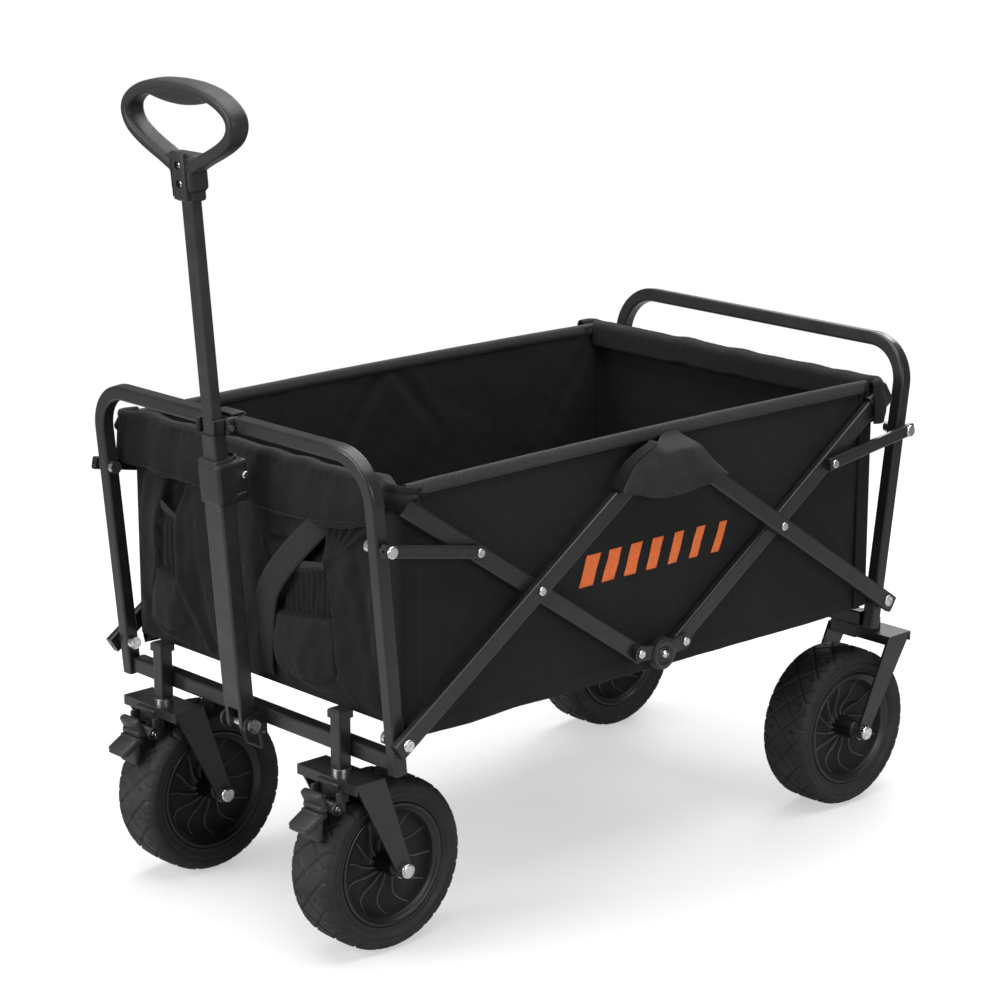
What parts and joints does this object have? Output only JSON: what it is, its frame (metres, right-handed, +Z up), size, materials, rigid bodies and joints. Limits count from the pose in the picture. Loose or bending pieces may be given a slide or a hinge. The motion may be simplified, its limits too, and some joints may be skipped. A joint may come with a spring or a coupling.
{
  "type": "folding camp wagon",
  "caption": "Collapsible four-wheel camp wagon: cloth tub on a crossing side-bar frame, swivel front casters with foot brakes, and a telescopic folding pull handle with a loop grip.",
  "frame": {"origin": "on the ground, midway between the front and rear lower frame pivots, on the centre plane", "axes": "+X forward to the pull handle and swivel casters, +Y to the wagon's left, +Z up"},
  "size_m": [0.9024, 0.511, 0.9107],
  "materials": {
    "frame_tube": "satin black powder coat",
    "bright_fastener": "polished plated steel",
    "moulded_black": "fine grain",
    "handle_tube": "satin black powder coat",
    "grip_black": "soft touch",
    "tyre_black": "moulded rubber",
    "rim_black": "semi gloss",
    "tub_cloth": "coated woven polyester",
    "webbing": "woven webbing tape"
  },
  "bodies": {
    "front_frame": {"front_hoop": "frame_tube", "front_crossbar": "frame_tube", "caster_stems": "frame_tube", "stem_caps": "moulded_black", "front_frame_bolts": "bright_fastener", "handle_bracket": "frame_tube", "handle_fasteners": "bright_fastener", "handle_clip": "moulded_black"},
    "front_outer": {"front_outer_bars": "frame_tube", "front_cross_rivets": "bright_fastener"},
    "front_inner": {"front_inner_bars": "frame_tube", "front_corner_hooks": "moulded_black"},
    "lower_centre": {"lower_hubs": "moulded_black", "lower_cross_tube": "frame_tube", "lower_hub_rivets": "bright_fastener"},
    "upper_centre": {"upper_hubs": "moulded_black", "upper_hub_rivets": "bright_fastener", "mid_tabs": "webbing"},
    "rear_outer": {"rear_outer_bars": "frame_tube", "rear_cross_rivets": "bright_fastener"},
    "rear_inner": {"rear_inner_bars": "frame_tube", "rear_corner_hooks": "moulded_black"},
    "rear_frame": {"rear_hoop": "frame_tube", "rear_crossbar": "frame_tube", "rear_forks": "frame_tube", "rear_frame_bolts": "bright_fastener", "rear_axles": "bright_fastener"},
    "front_link": {"front_links": "frame_tube", "front_link_rivets": "bright_fastener"},
    "rear_link": {"rear_links": "frame_tube", "rear_link_rivets": "bright_fastener"},
    "tub_front": {"tub_front_wall": "tub_cloth", "tub_front_pockets": "tub_cloth", "tub_side_panels": "tub_cloth", "tub_floor": "tub_cloth"},
    "tub_rear": {"tub_rear_wall": "tub_cloth"},
    "handle_lower": {"handle_outer_tube": "handle_tube", "handle_collar": "moulded_black"},
    "handle_middle": {"handle_middle_tube": "handle_tube"},
    "handle_upper": {"handle_inner_tube": "handle_tube", "handle_grip": "grip_black", "grip_screws": "bright_fastener"},
    "push_button": {"handle_push_button": "bright_fastener"},
    "caster_left": {"caster_left_fork": "frame_tube", "caster_left_fasteners": "bright_fastener", "caster_left_brake_base": "moulded_black"},
    "brake_left": {"caster_left_brake_pedal": "moulded_black"},
    "front_wheel_left": {"front_left_tyre": "tyre_black", "front_left_rim": "rim_black"},
    "rear_wheel_left": {"rear_left_tyre": "tyre_black", "rear_left_rim": "rim_black"},
    "caster_right": {"caster_right_fork": "frame_tube", "caster_right_fasteners": "bright_fastener", "caster_right_brake_base": "moulded_black"},
    "brake_right": {"caster_right_brake_pedal": "moulded_black"},
    "front_wheel_right": {"front_right_tyre": "tyre_black", "front_right_rim": "rim_black"},
    "rear_wheel_right": {"rear_right_tyre": "tyre_black", "rear_right_rim": "rim_black"}
  },
  "joints": [
    {"name": "frame_fold", "type": "hinge", "parent": "front_frame", "child": "front_outer", "pos_m": [0.3726, 0, 0.254], "axis": [0, 1, 0], "range_deg": [0, 42.3], "deforming": ["tub_side_panels", "tub_floor"]},
    {"name": "front_cross", "type": "hinge", "parent": "front_outer", "child": "front_inner", "pos_m": [0.18731, 0, 0.37898], "axis": [0, 1, 0], "range_deg": [-85.1, 0.5]},
    {"name": "lower_front", "type": "hinge", "parent": "front_inner", "child": "lower_centre", "pos_m": [0.0346, 0, 0.27598], "axis": [0, 1, 0], "range_deg": [-0.5, 42.8]},
    {"name": "upper_front", "type": "hinge", "parent": "front_outer", "child": "upper_centre", "pos_m": [0.0346, 0, 0.48198], "axis": [0, 1, 0], "range_deg": [-42.8, 0.5]},
    {"name": "upper_rear", "type": "hinge", "parent": "upper_centre", "child": "rear_outer", "pos_m": [-0.0346, 0, 0.48198], "axis": [0, 1, 0], "range_deg": [-42.8, 0.5]},
    {"name": "rear_cross", "type": "hinge", "parent": "rear_outer", "child": "rear_inner", "pos_m": [-0.18731, 0, 0.37898], "axis": [0, 1, 0], "range_deg": [-0.5, 85.1]},
    {"name": "rear_pivot", "type": "hinge", "parent": "rear_outer", "child": "rear_frame", "pos_m": [-0.3726, 0, 0.254], "axis": [0, 1, 0], "range_deg": [-0.5, 42.8]},
    {"name": "front_link_swing", "type": "hinge", "parent": "front_frame", "child": "front_link", "pos_m": [0.39115, 0, 0.45972], "axis": [0, 1, 0], "range_deg": [-0.5, 78.64]},
    {"name": "rear_link_swing", "type": "hinge", "parent": "rear_frame", "child": "rear_link", "pos_m": [-0.40303, 0, 0.4534], "axis": [0, 1, 0], "range_deg": [-71.25, 0.5]},
    {"name": "tub_front_lift", "type": "slide", "parent": "front_frame", "child": "tub_front", "axis": [0, 0, 1], "range_m": [-0.002, 0.1863]},
    {"name": "tub_rear_lift", "type": "slide", "parent": "rear_frame", "child": "tub_rear", "axis": [0, 0, 1], "range_m": [-0.002, 0.1863]},
    {"name": "caster_swivel_left", "type": "hinge", "parent": "front_frame", "child": "caster_left", "pos_m": [0.381, 0.153, 0.23], "axis": [0, 0, 1], "continuous": true},
    {"name": "front_wheel_left_spin", "type": "hinge", "parent": "caster_left", "child": "front_wheel_left", "pos_m": [0.3353, 0.153, 0.095], "axis": [0, 1, 0], "continuous": true},
    {"name": "brake_left_pedal", "type": "hinge", "parent": "caster_left", "child": "brake_left", "pos_m": [0.408, 0.158, 0.175], "axis": [0, 1, 0], "range_deg": [-16, 0]},
    {"name": "rear_wheel_left_spin", "type": "hinge", "parent": "rear_frame", "child": "rear_wheel_left", "pos_m": [-0.3463, 0.1944, 0.095], "axis": [0, 1, 0], "continuous": true},
    {"name": "caster_swivel_right", "type": "hinge", "parent": "front_frame", "child": "caster_right", "pos_m": [0.381, -0.153, 0.23], "axis": [0, 0, 1], "continuous": true},
    {"name": "front_wheel_right_spin", "type": "hinge", "parent": "caster_right", "child": "front_wheel_right", "pos_m": [0.3353, -0.153, 0.095], "axis": [0, 1, 0], "continuous": true},
    {"name": "brake_right_pedal", "type": "hinge", "parent": "caster_right", "child": "brake_right", "pos_m": [0.408, -0.158, 0.175], "axis": [0, 1, 0], "range_deg": [-16, 0]},
    {"name": "rear_wheel_right_spin", "type": "hinge", "parent": "rear_frame", "child": "rear_wheel_right", "pos_m": [-0.3463, -0.1944, 0.095], "axis": [0, 1, 0], "continuous": true},
    {"name": "handle_fold", "type": "hinge", "parent": "front_frame", "child": "handle_lower", "pos_m": [0.3925, 0, 0.221], "axis": [0, 1, 0], "range_deg": [0, 86]},
    {"name": "handle_middle_slide", "type": "slide", "parent": "handle_lower", "child": "handle_middle", "axis": [0.0819, 0, 0.9966], "range_m": [0, 0.19]},
    {"name": "handle_upper_slide", "type": "slide", "parent": "handle_middle", "child": "handle_upper", "axis": [0.0819, 0, 0.9966], "range_m": [-0.195, 0]},
    {"name": "button_press", "type": "slide", "parent": "handle_lower", "child": "push_button", "axis": [0, 1, 0], "range_m": [-0.003, 0], "stiffness_N_per_m": 400}
  ],
  "couplings": [
    {"joint": "front_cross", "follows": "frame_fold", "ratio": -2},
    {"joint": "lower_front", "follows": "frame_fold", "ratio": 1},
    {"joint": "upper_front", "follows": "frame_fold", "ratio": -1},
    {"joint": "upper_rear", "follows": "frame_fold", "ratio": -1},
    {"joint": "rear_cross", "follows": "frame_fold", "ratio": 2},
    {"joint": "rear_pivot", "follows": "frame_fold", "ratio": 1},
    {"joint": "front_link_swing", "follows": "frame_fold", "ratio": 1.8473},
    {"joint": "rear_link_swing", "follows": "frame_fold", "ratio": -1.6726},
    {"joint": "tub_front_lift", "follows": "frame_fold", "m_per_rad": 0.24967},
    {"joint": "tub_rear_lift", "follows": "frame_fold", "m_per_rad": 0.24967}
  ]
}
